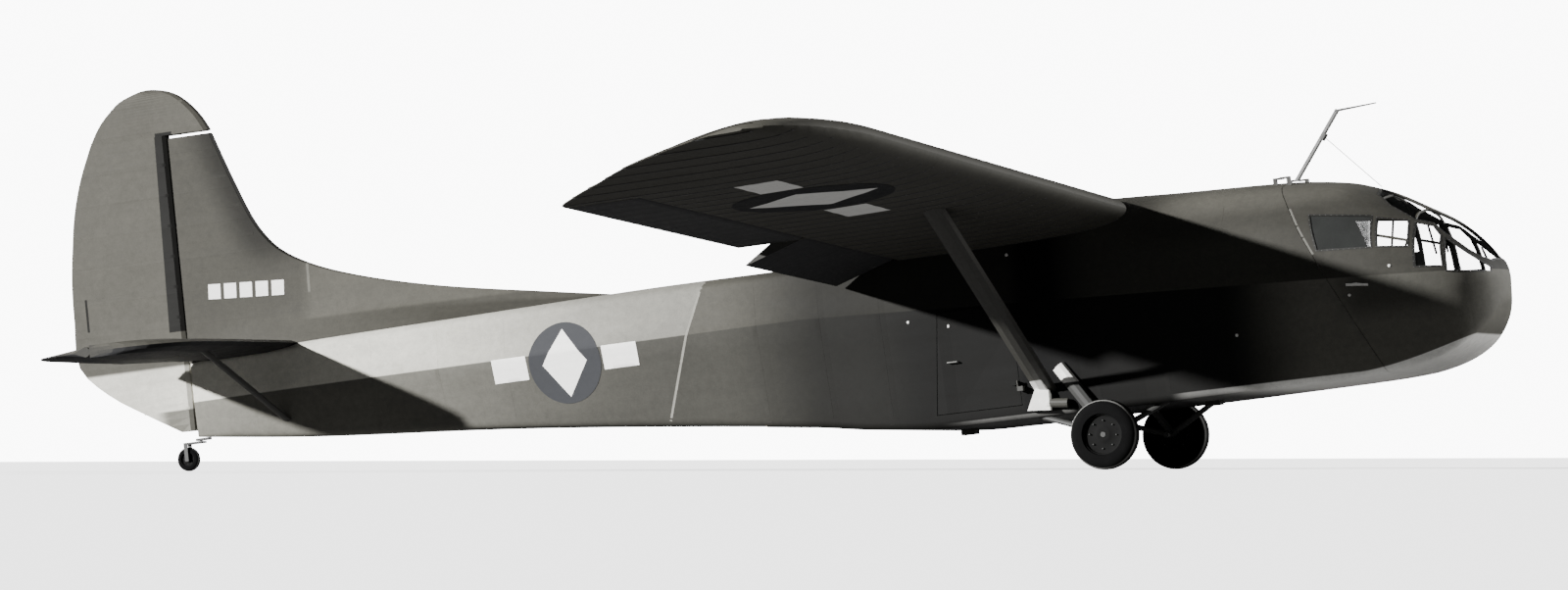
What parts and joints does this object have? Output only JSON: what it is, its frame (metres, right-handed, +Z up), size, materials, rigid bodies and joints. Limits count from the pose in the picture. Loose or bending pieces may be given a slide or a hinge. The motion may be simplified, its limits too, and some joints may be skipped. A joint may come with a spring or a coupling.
{
  "type": "transport glider",
  "caption": "High-wing strut-braced cargo glider with upward-opening glazed nose, side doors, hinged control surfaces and fixed tail-wheel gear.",
  "frame": {"origin": "centre of the bounding box on the ground under the wheels", "axes": "+X towards the nose, +Y to the left wing tip, +Z up"},
  "size_m": [14.891, 18.95, 3.8375],
  "materials": {
    "doped_fabric": "matt olive-grey doped fabric over formers",
    "plywood": "varnished plywood",
    "gear_metal": "satin grey paint",
    "strut_paint": "matt olive-grey paint",
    "clear_glazing": "clear acrylic sheet",
    "black_paint": "matt black paint",
    "tyre_rubber": "matt black rubber"
  },
  "bodies": {
    "airframe": {"hull_belly": "doped_fabric", "hull_roof": "doped_fabric", "hull_side_left": "doped_fabric", "hull_side_right": "doped_fabric", "bulkhead": "plywood", "cargo_floor": "plywood", "cargo_floor_left": "plywood", "cargo_floor_right": "plywood", "bench_left": "plywood", "bench_right": "plywood", "rear_fuselage": "doped_fabric", "fin": "doped_fabric", "wing_left": "doped_fabric", "wing_right": "doped_fabric", "wing_strut_left": "strut_paint", "wing_strut_right": "strut_paint", "stabiliser": "doped_fabric", "stabiliser_strut_left": "strut_paint", "stabiliser_strut_right": "strut_paint", "gear_frame_left": "gear_metal", "gear_frame_right": "gear_metal", "tail_wheel_mount": "gear_metal"},
    "nose": {"nose_belly": "doped_fabric", "nose_roof": "doped_fabric", "nose_side_left": "doped_fabric", "nose_side_right": "doped_fabric", "nose_cap": "doped_fabric", "cockpit_floor": "plywood", "pilot_seat_left": "plywood", "pilot_seat_right": "plywood", "pitot_mast": "gear_metal", "windshield": "clear_glazing", "side_glazing_left": "clear_glazing", "side_glazing_right": "clear_glazing", "instrument_panel": "black_paint", "control_column": "gear_metal"},
    "door_left": {"side_door_left": "doped_fabric"},
    "door_right": {"side_door_right": "doped_fabric"},
    "aileron_left": {"aileron_left": "doped_fabric"},
    "aileron_right": {"aileron_right": "doped_fabric"},
    "flap_left": {"flap_left": "doped_fabric"},
    "flap_right": {"flap_right": "doped_fabric"},
    "elevators": {"elevator_left": "doped_fabric", "elevator_right": "doped_fabric"},
    "rudder": {"rudder": "doped_fabric"},
    "main_wheel_left": {"main_wheel_left": "tyre_rubber"},
    "main_wheel_right": {"main_wheel_right": "tyre_rubber"},
    "tail_fork": {"tail_wheel_fork": "gear_metal"},
    "tail_wheel": {"tail_wheel": "tyre_rubber"}
  },
  "joints": [
    {"name": "nose_lift", "type": "hinge", "parent": "airframe", "child": "nose", "pos_m": [5.33721, 0, 2.73296], "axis": [0, -1, 0], "range_deg": [0, 80]},
    {"name": "door_left_swing", "type": "hinge", "parent": "airframe", "child": "door_left", "pos_m": [2.91776, 0.985, 1.0898], "axis": [0.1089, 0, -0.9941], "range_deg": [0, 90]},
    {"name": "door_right_swing", "type": "hinge", "parent": "airframe", "child": "door_right", "pos_m": [2.91776, -0.985, 1.0898], "axis": [-0.1089, 0, 0.9941], "range_deg": [0, 90]},
    {"name": "aileron_left_turn", "type": "hinge", "parent": "airframe", "child": "aileron_left", "pos_m": [1.62696, 5.44, 2.31126], "axis": [-0.0061, 0.9984, 0.0555], "range_deg": [-25, 25]},
    {"name": "aileron_right_turn", "type": "hinge", "parent": "airframe", "child": "aileron_right", "pos_m": [1.62696, -5.44, 2.31126], "axis": [0.0061, 0.9984, -0.0555], "range_deg": [-25, 25]},
    {"name": "flap_left_turn", "type": "hinge", "parent": "airframe", "child": "flap_left", "pos_m": [1.64674, 2.19, 2.13063], "axis": [-0.0061, 0.9984, 0.0555], "range_deg": [-28, 17]},
    {"name": "flap_right_turn", "type": "hinge", "parent": "airframe", "child": "flap_right", "pos_m": [1.64674, -2.19, 2.13063], "axis": [0.0061, 0.9984, -0.0555], "range_deg": [-28, 17]},
    {"name": "elevator_turn", "type": "hinge", "parent": "airframe", "child": "elevators", "pos_m": [-5.95499, 0, 1.15423], "axis": [0, 1, 0], "range_deg": [-20, 30]},
    {"name": "rudder_turn", "type": "hinge", "parent": "airframe", "child": "rudder", "pos_m": [-6.25533, 0, 1.87582], "axis": [-0.1089, 0, 0.9941], "range_deg": [-30, 30]},
    {"name": "main_wheel_left_spin", "type": "hinge", "parent": "airframe", "child": "main_wheel_left", "pos_m": [3.85481, 1.12, 0.33], "axis": [0, 1, 0], "continuous": true},
    {"name": "main_wheel_right_spin", "type": "hinge", "parent": "airframe", "child": "main_wheel_right", "pos_m": [3.85481, -1.12, 0.33], "axis": [0, 1, 0], "continuous": true},
    {"name": "tail_fork_swivel", "type": "hinge", "parent": "airframe", "child": "tail_fork", "pos_m": [-6.00162, 0, 0.29404], "axis": [-0.1089, 0, 0.9941], "continuous": true},
    {"name": "tail_wheel_spin", "type": "hinge", "parent": "tail_fork", "child": "tail_wheel", "pos_m": [-6.14019, 0, 0.12], "axis": [0, 1, 0], "continuous": true}
  ],
  "couplings": [
    {"joint": "aileron_right_turn", "follows": "aileron_left_turn", "ratio": -1},
    {"joint": "flap_right_turn", "follows": "flap_left_turn", "ratio": 1}
  ]
}
